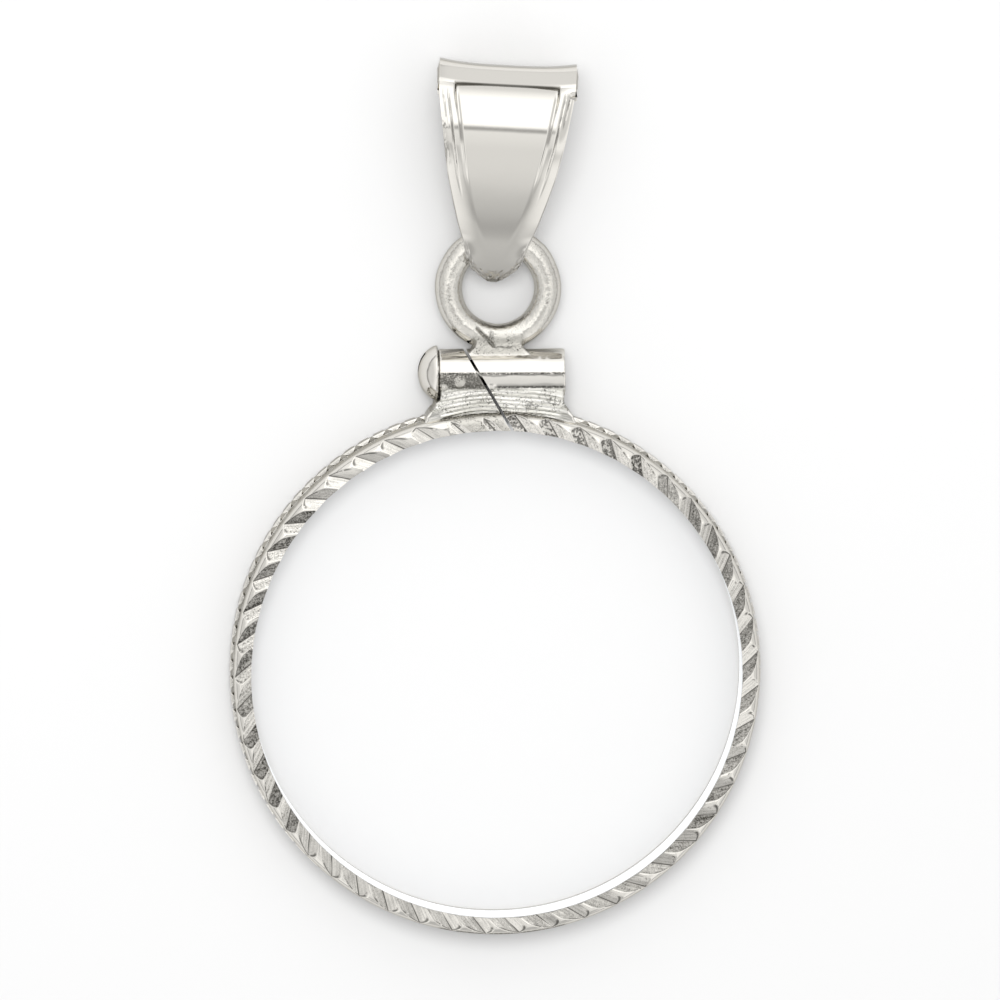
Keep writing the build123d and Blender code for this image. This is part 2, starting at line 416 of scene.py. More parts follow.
def frameSilver():  # polished, with solder, dirt, painted shade in joints and grooves, painted highlights and shade on the file ridges, and a pale paint for the reflections in the coin's groove, where the piece's attributes say so
    material, start, shader = newMaterial("frameSilver")
    place = start.millimetres()
    solder, stain, ridged, groove = (start.attribute(name) for name in ("solder", "stain", "ridged", "groove"))
    slow = start.noise(place, 0.8)
    fine = start.noise(place, 0.09, 3.0)
    grain = start.noise(place, 0.045, 3.0)
    # the ridges run round the ring, so they depend on the distance from its axis
    radius = start.fromAxis(place)
    unrolled = start.node("CombineXYZ", values={0: start.part(place, "X") * 0.5, 1: radius * 10.0})
    ridges = start.noise(unrolled, 1.0, 3.0)
    # pits and cracks in the solder, and painted shade in joints, grooves and folds
    dirtAndPaintedShade = start.math("MAXIMUM", solder * grain.smooth(0.56, 0.66) * start.noise(place, 0.35).smooth(0.4, 0.6),
                      stain * grain.smooth(0.3, 0.55))
    dirtAndPaintedShade = start.math("MAXIMUM", dirtAndPaintedShade, cracks(place) * solder.smooth(0.3, 0.7) * 0.85)
    # painted shadow: broken dark lines along the inner edge of the front
    lip = start.part(place, "Z").smooth(0.78, 0.9) * (1.0 - radius.smooth(8.612, 8.625))
    dirtAndPaintedShade = start.math("MAXIMUM", dirtAndPaintedShade, lip * start.noise(place, 0.5).smooth(0.42, 0.52) * 0.8)
    polished = (solder * 0.8).mix(silver["shade"], silver["dullAndPaintedShade"])
    # painted highlights on the crests of the file's ridges and painted shade between them
    filed = ridges.smooth(0.4, 0.62).mix(silver["ridgePaintedShade"], silver["ridgePaintedHighlight"])
    polished = ridged.mix(polished, filed)
    # a pale, nearly non-metallic paint in the coin's groove stands in for the bright reflections inside the silver
    polished = groove.mix(polished, silver["groovePaintedReflection"])
    feed(shader, "Base Color", dirtAndPaintedShade.mix(polished, silver["pitsAndPaintedShade"]))
    feed(shader, "Metallic", 1.0 - groove * 0.95)
    feed(shader, "Roughness", fine.smooth(0.35, 0.75) * 0.07 + solder * 0.28 + silver["polish"])
    height = slow + fine * 0.03 + solder * (fine * 0.5 + grain * 0.3) + ridged * ridges * 0.35
    feed(shader, "Normal", start.bump(height, 0.5, 0.04))
    return material


def cutSilver():  # the bright cuts: each facet's darkness is painted shade and painted reflection, set by its side and its place round the ring; grainy where it is dark, scratched along the cut elsewhere
    material, start, shader = newMaterial("cutSilver")
    place = start.millimetres()
    paintedTone = start.attribute("cutTone", "Color")
    dark, speckle, patchy = (start.node("SeparateColor", values={0: paintedTone}, output=number) for number in range(3))
    solder = start.attribute("solder")
    along = start.attribute("cutPlace", "Vector")
    across = start.math("ABSOLUTE", start.part(along, "Y"))
    streak = start.node("Mapping", values={"Vector": along, "Scale": (0.8, 14.0, 1.0)})
    scratch = start.noise(streak, 1.0, 3.0)
    grain = start.noise(place, 0.05, 4.0)
    blotch = start.noise(place, 0.25)
    # depth of a spot under the uncut front: a painted highlight runs along the rim, and a broken dark line just
    # inside it
    radius = start.fromAxis(place)
    past = start.math("MAXIMUM", radius - (ring["frontRadius"] - ring["shoulder"]), 0.0)
    uncut = start.math("SQRT", ring["shoulder"] ** 2 - past * past) + (ring["half"] - ring["shoulder"])
    under = uncut - start.part(place, "Z")
    paintedRimHighlight = 1.0 - under.smooth(0.008, 0.024)
    rimDarkLine = under.smooth(0.018, 0.03) * (1.0 - under.smooth(0.045, 0.075)) * radius.smooth(8.86, 8.98)
    rimDarkLine = rimDarkLine * start.noise(place, 0.2).smooth(0.38, 0.5) * 0.8
    patches = start.noise(place, 0.11).smooth(0.42, 0.54)
    # painted shade and reflection: each facet's darkness from the table, broken into patches
    shade = dark * (1.0 - patchy * (1.0 - patches)) * 0.9 + 0.03
    shade = shade + (grain - 0.5) * (dark * 1.1 + speckle) + (scratch - 0.5) * (1.1 - dark * 0.4)
    shade = shade + (blotch - 0.5) * 0.35 + grain.smooth(0.63, 0.7) * speckle * 0.5
    # painted shade: a dark line along the bottom of each V
    paintedDarkLine = (1.0 - across.smooth(0.01, 0.035)) * scratch.smooth(0.3, 0.5) * 0.9
    mark = start.math("MAXIMUM", paintedDarkLine, cracks(place) * solder.smooth(0.2, 0.6) * 0.9)
    shade = start.math("MAXIMUM", shade, start.math("MAXIMUM", mark, rimDarkLine)) * (1.0 - paintedRimHighlight)
    feed(shader, "Base Color", shade.mix(silver["shade"], silver["pitsAndPaintedShade"]))
    feed(shader, "Roughness", dark * 0.25 + 0.15)
    feed(shader, "Normal", start.bump(scratch * 0.35 + grain * (dark + 0.15), 0.55, 0.03))
    return material


def sawnPaintedShadeSilver():  # painted shade: the narrow walls of the saw cut are coloured nearly black
    material, start, shader = newMaterial("sawnPaintedShadeSilver")
    grain = start.noise(start.millimetres(), 0.06, 3.0)
    feed(shader, "Base Color", silver["sawnPaintedShade"])
    feed(shader, "Roughness", grain * 0.2 + 0.45)
    return material


def smoothSilver(name, wave, waveSize):  # polished, and darker where the piece's own attribute says so: painted shade in its creases and hollows, and stains
    material, start, shader = newMaterial(name)
    place = start.millimetres()
    fine = start.noise(place, 0.12, 3.0)
    stain = start.attribute("stain")
    feed(shader, "Base Color", stain.mix(silver["shade"], silver["pitsAndPaintedShade"]))
    feed(shader, "Roughness", fine.smooth(0.35, 0.75) * 0.05 + stain * 0.3 + silver["polish"])
    feed(shader, "Normal", start.bump(start.noise(place, waveSize) + fine * 0.02, wave, 0.04))
    return material


polishedFrame = frameSilver()
sawnWalls = sawnPaintedShadeSilver()
polishedScrew = smoothSilver("screwSilver", 0.4, 0.5)
polishedBail = smoothSilver("bailSilver", 0.12, 1.6)
print("silver mixed")


# Ring that holds the coin

ring = {
    "radius": 9.33,
    "frontRadius": 9.22,  # the back rim stands a little proud of the front
    "lip": 8.61,
    "seat": 9.0,
    "half": 1.005,
    "grooveHalf": 0.725,
    "shoulder": 0.34,
    "shoulderSteps": 10,
    "backBevel": 0.14,
    "seam": (-0.2, -0.26, -0.34),  # a thin groove between the front and the back rim
    "seamDepth": 0.07,
    "stations": 588,
}
frontCuts = {
    "count": 49,
    "first": 3.5,
    "shift": -0.4,
    "slant": 41,
    "depth": 0.19,
    "spare": 0.06,
    "opening": 130,
    "tilt": 1.5,  # one facet of a cut is a little wider than the other
    "length": 1.7,
    "unevenLift": 0.014,
    "unevenTilt": 2,
    "unevenSlant": 1.5,
    "offCentre": 1.3,  # the ring stood off centre as it was cut, so the cuts crowd together on one side
    "offCentreAt": 70,
    "floodedFrom": 89,  # solder has run over the cuts here
    "floodedTo": 101,
    "floodedLift": 0.11,
}
backCuts = {"count": 98, "first": 0.3, "depth": 0.055, "spare": 0.085, "opening": 112, "lean": 7, "length": 1.2,
            "height": -0.55, "uneven": 0.008}
# painted shade and reflection of the facets of a cut round the ring: angle, how dark the clockwise and the other one
# are, grain, patches
cutPaintedShades = [
    (0, 0.82, 0.05, 0.4, 0.15), (44, 0.82, 0.22, 0.4, 0.15), (56, 0.22, 0.95, 0.7, 0.9), (88, 0.2, 1.0, 0.7, 1.0),
    (96, 0.15, 0.6, 0.5, 1.0), (102, 0.0, 0.12, 0.2, 0.2), (134, 0.0, 0.14, 0.25, 0.2), (141, 0.9, 0.3, 0.8, 0.3),
    (181, 0.92, 0.35, 0.8, 0.4), (188, 0.25, 0.92, 0.6, 0.3), (214, 0.18, 0.9, 0.5, 0.3), (222, 0.25, 0.1, 0.3, 0.1),
    (262, 0.32, 0.12, 0.3, 0.1), (276, 0.42, 0.12, 0.3, 0.1), (300, 0.58, 0.08, 0.4, 0.1),
    (322, 0.8, 0.05, 0.4, 0.1), (360, 0.82, 0.05, 0.4, 0.15),
]
polishedCuts = cutSilver()


def cutAngle(index):  # where a front cut stands round the ring, in degrees
    even = frontCuts["first"] + index * 360 / frontCuts["count"]
    away = math.radians(even - frontCuts["offCentreAt"])
    return even + frontCuts["shift"] + frontCuts["offCentre"] * math.cos(away)


def cutTone(angle):  # the row of the table above for this angle, without the angle
    for before, after in zip(cutPaintedShades, cutPaintedShades[1:]):
        if angle <= after[0]:
            share = (angle - before[0]) / (after[0] - before[0])
            return [first + (second - first) * share for first, second in zip(before[1:], after[1:])]


def wedge(name, cuts, material):
    # a three-sided bar lying along X: its edge depth under the origin, its flat side spare above it
    size = (cuts["depth"] + cuts["spare"]) / 1.5
    bpy.ops.object.select_all(action="DESELECT")
    bpy.ops.mesh.primitive_cylinder_add(vertices=3, radius=size, depth=cuts["length"],
                                        rotation=(math.radians(-90), 0, math.radians(-90)))
    bar = settle(named(name, material))
    widen = math.tan(math.radians(cuts["opening"] / 2)) * 1.5 / math.cos(math.radians(30))
    bpy.ops.object.mode_set(mode="EDIT")
    bpy.ops.mesh.select_all(action="SELECT")
    bpy.ops.transform.resize(value=(1, widen, 1), center_override=(0, 0, 0))
    bpy.ops.transform.translate(value=(0, 0, size - cuts["depth"]))
    objectMode()
    return bar


def makeRing():
    outside, front, half, bend = ring["radius"], ring["frontRadius"], ring["half"], ring["shoulder"]
    seamTop, seamMiddle, seamLow = ring["seam"]
    turns = [math.radians(90 * i / ring["shoulderSteps"]) for i in range(ring["shoulderSteps"] + 1)]
    shoulder = [(front - bend + bend * math.sin(turn), half - bend + bend * math.cos(turn)) for turn in turns]
    profile = [(ring["lip"], half)] + shoulder + [
        (front, seamTop),
        (front - ring["seamDepth"], seamMiddle),
        (outside, seamLow),
        (outside, ring["backBevel"] - half),
        (outside - ring["backBevel"], -half),
        (ring["lip"], -half),
        (ring["lip"], -ring["grooveHalf"]),
        (ring["seat"], -ring["grooveHalf"]),
        (ring["seat"], ring["grooveHalf"]),
        (ring["lip"], ring["grooveHalf"]),
    ]
    return lathe("bezelRing", profile, ring["stations"], polishedFrame)


def cutFront(piece):
    first = wedge("frontCut", frontCuts, polishedCuts)
    middle = (ring["lip"] + ring["radius"]) / 2
    bars = []
    for index in range(frontCuts["count"]):
        angle = cutAngle(index)
        flooded = frontCuts["floodedFrom"] < angle < frontCuts["floodedTo"]
        turn = math.radians(angle)
        bar = copyOf(first)
        lift = spread(frontCuts["unevenLift"]) + (frontCuts["floodedLift"] if flooded else 0)
        bar.location = (middle * math.cos(turn), middle * math.sin(turn), ring["half"] + lift)
        bar.rotation_euler = (
            math.radians(frontCuts["tilt"] + spread(frontCuts["unevenTilt"])),
            0,
            turn + math.radians(frontCuts["slant"] + spread(frontCuts["unevenSlant"])),
        )
        bars.append(bar)
    bpy.data.objects.remove(first)
    combine(piece, joined(bars), "DIFFERENCE", overlapping=True)


def cutBack(piece):
    first = wedge("backCut", backCuts, polishedFrame)
    bars = []
    for index in range(backCuts["count"]):
        turn = math.radians(backCuts["first"] + 360 * index / backCuts["count"])
        middle = ring["radius"] + spread(backCuts["uneven"])
        bar = copyOf(first)
        bar.location = (middle * math.cos(turn), middle * math.sin(turn), backCuts["height"])
        bar.rotation_euler = (math.radians(180), math.radians(90 - backCuts["lean"]), turn)
        bars.append(bar)
    bpy.data.objects.remove(first)
    combine(piece, joined(bars), "DIFFERENCE")


bezelRing = makeRing()
cutFront(bezelRing)
cutBack(bezelRing)
print("ring cut:", len(bezelRing.data.polygons), "faces")


# Tube, saddle, solder collar and jump ring

tube = {"radius": 0.83, "length": 4.41, "middle": (0.18, 10.55, 0), "bore": 0.5}
jumpRing = {"radius": 1.73, "wire": 0.47, "middle": (0.07, 13.52, 0)}
# rows of the saddle from the tube down to the ring: distance from the ring's middle, half thickness, half length
saddleRows = [
    (10.35, 0.60, 2.13), (10.12, 0.66, 2.14), (9.85, 0.70, 2.15), (9.66, 0.72, 2.16), (9.57, 0.73, 2.17),
    (9.45, 0.74, 2.2), (9.35, 0.75, 2.26), (9.25, 0.75, 2.36), (9.1, 0.75, 2.48), (8.8, 0.74, 2.6),
]
saddleLeft = {"below": 9.6, "wider": 0.14}  # its left end stands out further under the screw's head
saddleEnd = 9.05  # the saddle is cut off round the ring's axis at this radius, inside the ring's metal
saddleRidges = {"pitch": 0.135, "height": 0.03}
# rows of the solder collar from the tube up into the jump ring: height, half width, half thickness
collarRows = [(11.2, 1.15, 0.50), (11.34, 0.98, 0.47), (11.5, 0.83, 0.45), (11.75, 0.74, 0.43), (12.0, 0.70, 0.40)]
# lumps of solder: middle, and half sizes
lumps = [
    ((-1.87, 10.08, 0.62), (0.16, 0.15, 0.16)), ((-1.31, 10.32, 0.72), (0.19, 0.24, 0.1)),
    ((-0.2, 10.2, 0.66), (0.2, 0.22, 0.13)), ((-0.45, 11.35, 0.28), (0.2, 0.2, 0.2)),
]
# folds in the jump ring's soldered foot: a line from one place to another, and how deep it is
folds = [((-0.66, 12.14), (-0.12, 11.54), 1.0), ((-0.16, 12.0), (-0.2, 11.74), 0.5)]
# smooth blobs of solder on the pitted half of the tube: x, y, and from which radius to which each fades out
blobs = [(-1.31, 10.32, 0.17, 0.22), (-1.87, 10.08, 0.13, 0.18)]
# how these parts are melted into one and roughened
neckFinish = {"voxel": 0.034, "smoothing": 9, "roughness": 0.05, "foldDepth": 0.08, "waves": 0.035}
kerf = {"width": 0.1, "turn": 30.3, "crossing": (-0.61, 10.55), "above": 0.52, "below": 1.8, "deep": 2.6}


def slab(name, rows):  # a bar of rectangles, a row for each height: (y, half of x, half of z)
    low, halfWide, halfDeep = rows[0]
    bpy.ops.object.select_all(action="DESELECT")
    bpy.ops.mesh.primitive_plane_add(size=2, location=(0, low, 0), rotation=(math.radians(90), 0, 0))
    piece = settle(named(name, polishedFrame))
    bpy.ops.object.mode_set(mode="EDIT")
    bpy.ops.mesh.select_all(action="SELECT")
    bpy.ops.transform.resize(value=(halfWide, 1, halfDeep), center_override=(0, low, 0))
    for height, wide, deep in rows[1:]:
        bpy.ops.mesh.extrude_region_move(TRANSFORM_OT_translate={"value": (0, height - low, 0)})
        bpy.ops.transform.resize(value=(wide / halfWide, 1, deep / halfDeep), center_override=(0, height, 0))
        low, halfWide, halfDeep = height, wide, deep
    objectMode()
    cleanUp(piece)
    return piece


def makeNeck():
    parts = []
    bpy.ops.object.select_all(action="DESELECT")
    bpy.ops.mesh.primitive_cylinder_add(vertices=160, radius=tube["radius"], depth=tube["length"],
                                        location=tube["middle"], rotation=(0, math.radians(90), 0))
    parts.append(settle(named("tube", polishedFrame)))
    saddle = slab("saddle", [(y, wide, deep) for y, deep, wide in reversed(saddleRows)])
    pick(saddle, "VERT", lambda place: place.x < 0 and place.y < saddleLeft["below"])
    bpy.ops.transform.translate(value=(-saddleLeft["wider"], 0, 0))
    objectMode()
    saddle.location.x = tube["middle"][0]
    parts.append(settle(saddle))
    collar = slab("collar", collarRows)
    collar.location.x = jumpRing["middle"][0]
    parts.append(settle(collar))
    bpy.ops.mesh.primitive_torus_add(location=jumpRing["middle"], major_radius=jumpRing["radius"],
                                     minor_radius=jumpRing["wire"], major_segments=144, minor_segments=48)
    parts.append(settle(named("jumpRing", polishedFrame)))
    for place, size in lumps:
        bpy.ops.mesh.primitive_uv_sphere_add(segments=24, ring_count=16, radius=1, location=place, scale=size)
        parts.append(settle(named("lump", polishedFrame)))
    neck = joined(parts)
    neck.name = "neck"
    modify(neck, "REMESH", mode="VOXEL", voxel_size=neckFinish["voxel"], use_smooth_shade=True)
    modify(neck, "SMOOTH", factor=0.5, iterations=neckFinish["smoothing"])
    rough = clouds("solderClouds", 0.12, 3)
    weigh(neck, "rough", lambda place: solderAndPaintedShadeAt(place) * (0.9 - 0.65 * saddleAt(place)))
    displace(neck, "rough", neckFinish["roughness"], rough, 0.5)
    weigh(neck, "folds", foldAt)
    displace(neck, "folds", -neckFinish["foldDepth"])
    weigh(neck, "ridges", ridgeAt)
    displace(neck, "ridges", saddleRidges["height"])
    wavy = clouds("wireWaves", 0.9, 0)
    weigh(neck, "all", lambda place: 1)
    displace(neck, "all", neckFinish["waves"], wavy, 0.5)
    bpy.ops.object.select_all(action="DESELECT")
    bpy.ops.mesh.primitive_cylinder_add(vertices=64, radius=tube["bore"], depth=tube["length"] * 1.2,
                                        location=tube["middle"], rotation=(0, math.radians(90), 0))
    combine(neck, settle(named("bore", polishedFrame)), "DIFFERENCE")
    bpy.ops.object.select_all(action="DESELECT")
    bpy.ops.mesh.primitive_cylinder_add(vertices=ring["stations"], radius=saddleEnd, depth=3)
    combine(neck, settle(named("opening", polishedFrame)), "DIFFERENCE")
    return neck


def saddleAt(place):  # 1 on the saddle between the tube and the ring
    x, y, z = place
    foot = ease(math.hypot(x, y), 9.2, 9.26)
    return foot * (1 - ease(y, 10.0, 10.1)) * (1 - ease(abs(x - 0.1), 2.35, 2.5)) * ease(z, 0.2, 0.5)


def foldAt(place):  # 1 deep in a fold of the solder
    deep = 0
    for (startX, startY), (endX, endY), depth in folds:
        run = Vector((endX - startX, endY - startY))
        offset = Vector((place.x - startX, place.y - startY))
        share = min(max(offset.dot(run) / run.length_squared, 0), 1)
        deep = max(deep, depth * (1 - ease((offset - run * share).length, 0.01, 0.09)))
    return deep * ease(place.z, 0.1, 0.25)


def ridgeAt(place):  # the file's ridges on the saddle, which run round the ring
    radius = math.hypot(place.x, place.y) + 0.03 * math.sin(place.x * 2.3)
    ridge = 0.5 + 0.5 * math.cos(2 * math.pi * radius / saddleRidges["pitch"])
    return saddleAt(place) * (1 - ease(abs(place.x - 0.1), 1.8, 2.2)) * ridge


def groovePaintedReflectionAt(place):  # 1 deep in the coin's groove, where a pale paint stands in for the bright reflections inside it
    return (1 - ease(math.hypot(place.x, place.y), 9.01, 9.05)) * (1 - ease(abs(place.z), 0.74, 0.78))


def blobAt(place):  # 1 on a smooth blob of solder
    return max(1 - ease(math.hypot(place.x - x, place.y - y), inner, outer) for x, y, inner, outer in blobs)


def pittedAt(place):  # 1 where the left half of the tube is pitted
    x, y, z = place
    edge = -0.47 + (y - 10.3) * -0.58
    inside = ease(z, 0.3, 0.5) * ease(y, 10.0, 10.07) * (1 - ease(y, 10.56, 10.63)) * (1 - ease(x, edge - 0.1, edge))
    return inside * (1 - blobAt(place))


def solderAndPaintedShadeAt(place):  # how much solder has run over a spot of the frame, with a little painted shade on the jump ring
    x, y, z = place
    collar = (1 - ease(abs(x - 0.07), 0.75, 1.15)) * ease(y, 11.15, 11.3) * (1 - ease(y, 11.75, 12.15))
    saddle = ease(y, 9.2, 9.3) * (1 - ease(y, 10.0, 10.12)) * (1 - ease(abs(x - 0.18), 2.5, 2.7))
    face = ease(z, 0.7, 0.9) * ease(y, 8.5, 8.6) * (1 - ease(y, 9.25, 9.4))
    face = face * ease(x, -1.9, -1.5) * (1 - ease(x, 0.9, 1.4))
    wire = 0.35 * ease(y, 11.6, 12.2)  # the jump ring's colour is a little darker, painted shade, and it is a little rougher
    return max(collar, saddle, pittedAt(place), face * 0.8, blobAt(place) * ease(z, 0.3, 0.5) * 0.8, wire)


def stainAndPaintedShadeAt(place):  # how dark a spot of the frame is: painted shade in the joints between tube, saddle, collar and ring, in the ring's seam and in the solder's folds, a painted dark reflection along the top of the tube, and the tube's pits
    x, y, z = place
    along = 1 - ease(abs(x - 0.18), 2.1, 2.3)
    under = (1 - ease(abs(y - 10.11), 0.02, 0.07)) * ease(z, 0.3, 0.5) * along * ease(x, -0.2, 0.1)
    # painted reflection: a dark line along the top of the tube
    paintedDarkLine = (1 - ease(abs(y - 10.6), 0.025, 0.06)) * ease(z, 0.3, 0.5) * along
    foot = 1 - ease(abs(y - 11.49 - 0.02 * math.sin(x * 14)), 0.01, 0.05)
    foot = foot * (1 - ease(abs(x - 0.25), 0.25, 0.45)) * ease(z, 0, 0.2)
    radius = math.hypot(x, y)
    joint = (1 - ease(abs(radius - 9.19), 0.02, 0.06)) * ease(z, 0.5, 0.65) * along
    seam = (1 - ease(abs(z + 0.26), 0.03, 0.06)) * ease(radius, 9.07, 9.12) * (1 - ease(radius, 9.2, 9.22))
    lines = max(under * 0.95, paintedDarkLine, foot * 0.8, joint * 0.9, seam * 0.9, 0)
    return max(lines, pittedAt(place) * 0.75, foldAt(place) * 0.65)


def cutKerf(piece):
    turn = math.radians(kerf["turn"])
    bpy.ops.object.select_all(action="DESELECT")
    bpy.ops.mesh.primitive_cube_add(size=1, location=(*kerf["crossing"], 0), rotation=(0, 0, turn),
                                    scale=(kerf["width"], 1, kerf["deep"]))
    blade = settle(named("blade", sawnWalls))
    along = Vector((-math.sin(turn), math.cos(turn), 0))
    pick(blade, "FACE", lambda place, normal: normal.dot(along) > 0.9)
    bpy.ops.transform.translate(value=along * kerf["above"])
    pick(blade, "FACE", lambda place, normal: normal.dot(along) < -0.9)
    bpy.ops.transform.translate(value=along * -kerf["below"])
    objectMode()
    combine(piece, blade, "DIFFERENCE")


def chartCuts(piece):  # writes where each spot of a cut lies, how dark its facet is painted for shade and reflection, and how soldered it is
    mesh = piece.data
    paintedTone = mesh.attributes.new("cutTone", "FLOAT_COLOR", "CORNER")
    spot = mesh.attributes.new("cutPlace", "FLOAT_VECTOR", "CORNER")
    middle = (ring["lip"] + ring["radius"]) / 2
    slant = math.radians(frontCuts["slant"])
    cutSlot = mesh.materials.find(polishedCuts.name)
    strengths = [random.uniform(0.86, 1.06) for _ in range(frontCuts["count"])]
    for face in mesh.polygons:
        if face.material_index != cutSlot:
            continue
        centre = face.center
        radius = math.hypot(centre.x, centre.y)
        angle = math.degrees(math.atan2(centre.y, centre.x) - (radius - middle) * math.tan(slant) / middle)
        index = min(range(frontCuts["count"]), key=lambda i: abs((cutAngle(i) - angle + 180) % 360 - 180))
        turn = math.radians(cutAngle(index))
        start = Vector((middle * math.cos(turn), middle * math.sin(turn), 0))
        along = Vector((math.cos(turn + slant), math.sin(turn + slant), 0))
        across = Vector((-along.y, along.x, 0))
        clockwise, other, speckle, patchy = cutTone(math.degrees(turn) % 360)
        # one facet of each V is painted darker than the other, by the side it faces
        dark = (clockwise if face.normal.dot(across) > 0 else other) * strengths[index]
        for corner in face.loop_indices:
            place = mesh.vertices[mesh.loops[corner].vertex_index].co - start
            paintedTone.data[corner].color = (dark, speckle, patchy, 1)
            spot.data[corner].vector = (place.dot(along) + index * 3, place.dot(across), 0)
    for name, measure in (("solder", solderAndPaintedShadeAt), ("stain", stainAndPaintedShadeAt), ("ridged", saddleAt), ("groove", groovePaintedReflectionAt)):
        chart(piece, name, measure)


neck = makeNeck()
print("neck remeshed:", len(neck.data.polygons), "faces")
combine(bezelRing, neck, "UNION")
cutKerf(bezelRing)
chartCuts(bezelRing)
bezelRing.name = "bezelFrame"
finish(bezelRing, "bezel", "bezel_frame", 28)


# Closing screw

screw = {"head": 0.96, "rim": 0.05, "dome": 0.63, "capAngle": 76, "shank": 0.45, "reach": 4.14,
         "seat": (-2.055, 10.55, 0), "slotWidth": 0.24, "slotDepth": 0.26, "slotLength": 3, "slotTurn": 82,
         "edge": 0.03, "domeSteps": 16, "stations": 96}


def makeScrew():
    dome, steps = [], screw["domeSteps"]
    cap = math.radians(screw["capAngle"])
    for i in range(1, steps):
        turn = cap * (1 - i / steps)
        rise = (math.cos(turn) - math.cos(cap)) / (1 - math.cos(cap))
        dome.append((screw["head"] * math.sin(turn) / math.sin(cap), screw["rim"] + screw["dome"] * rise))
    profile = [(screw["shank"], -screw["reach"]), (screw["shank"], 0),
               (screw["head"] - screw["edge"], 0), (screw["head"], screw["edge"]), (screw["head"], screw["rim"])]
    piece = lathe("closingScrew", profile + dome, screw["stations"], polishedScrew, closed=False)
    top = screw["rim"] + screw["dome"]
    bpy.ops.object.select_all(action="DESELECT")
    bpy.ops.mesh.primitive_cube_add(size=1, location=(0, 0, top), rotation=(0, 0, math.radians(screw["slotTurn"])),
                                    scale=(screw["slotLength"], screw["slotWidth"], 2 * screw["slotDepth"]))
    combine(piece, settle(named("slot", polishedScrew)), "DIFFERENCE")
    # painted shade: the shank inside the tube is coloured nearly black
    chart(piece, "stain", lambda place: 0.95 * ease(-place.z, 0.02, 0.1))
    piece.rotation_euler = (0, math.radians(-90), 0)
    piece.location = screw["seat"]
    return settle(piece)


closingScrew = makeScrew()
finish(closingScrew, "screw", "closing_screw", 35)


# Bail

bail = {
    "turn": 3.2,  # clockwise, seen from the front
    "place": (-0.0687, 15.2444, 0),
    "wall": 0.34,
    "halfWidth": 2.42,
    "nose": 1.5,
    "noseRadius": 0.91,
    "reach": 6.11,
    "bend": 2.0,
    "rest": 1.215,  # height of the middle of the bend over the middle of the ring
    "bandProud": 0.06,
    "bandFlare": 0.165,
    "crease": 46.5,
    "bandFace": 42,  # the band's face leans this far back from level
    "bandCorner": 0.15,
    "topSlope": 20,  # of the front, where it leaves the bend
    "noseSlope": 42,
    "skew": 0.17,  # how far the back of the loop stands to the right of the front
    "wideColumns": 10,  # on each half: coarse ones in the middle, fine ones near the edge
    "fineColumns": 42,
    "fineFrom": 0.5,
    "edge": 0.05,
    "crust": 0.12,
}
# half of the outline: share of the length from the nose, share of the half width
bailOutline = [
    (0.0, 0.0), (0.022, 0.03), (0.03, 0.1), (0.048, 0.2), (0.08, 0.33), (0.13, 0.405), (0.2, 0.485),
    (0.29, 0.585), (0.39, 0.675), (0.51, 0.775), (0.63, 0.845), (0.75, 0.908), (0.88, 0.975), (0.98, 0.985),
    (1.0, 0.972), (1.015, 0.945), (1.06, 0.93),
]
# grooves of the front: distance from the edge, depth, half of the groove's width, and where each fades out
bailGrooves = [(0.64, 0.04, 0.09, 1.8, 3.4), (0.34, 0.035, 0.05, 1.5, 3.6), (0.17, 0.025, 0.035, 3.6, 5.0)]
border = {"width": 0.72, "drop": 0.17, "topDrop": 0.07, "flank": 0.45, "flankDrop": 0.22, "inside": 0.57}


def outlineWidth(along):  # half of the bail's width at a distance above the wire
    share = (along + bail["nose"]) / (bail["reach"] + bail["nose"])
    for (start, wide), (end, wider) in zip(bailOutline, bailOutline[1:]):
        if share <= end:
            return bail["halfWidth"] * (wide + (wider - wide) * (share - start) / (end - start))
    return bail["halfWidth"] * bailOutline[-1][1]


def bandRadius(degrees):  # distance of the band's surface from the middle of the bend
    plain = bail["bend"] + bail["bandProud"]
    if degrees <= 0:
        return plain
    face, crease = 90 - bail["bandFace"], 90 - bail["crease"]
    flat = plain * math.cos(math.radians(crease - face)) / math.cos(math.radians(degrees - face))
    wall = plain / max(math.cos(math.radians(degrees)), 0.2)
    blend = max(bail["bandCorner"] - abs(flat - wall), 0) / bail["bandCorner"]
    return min(flat, wall) - blend * blend * bail["bandCorner"] / 4


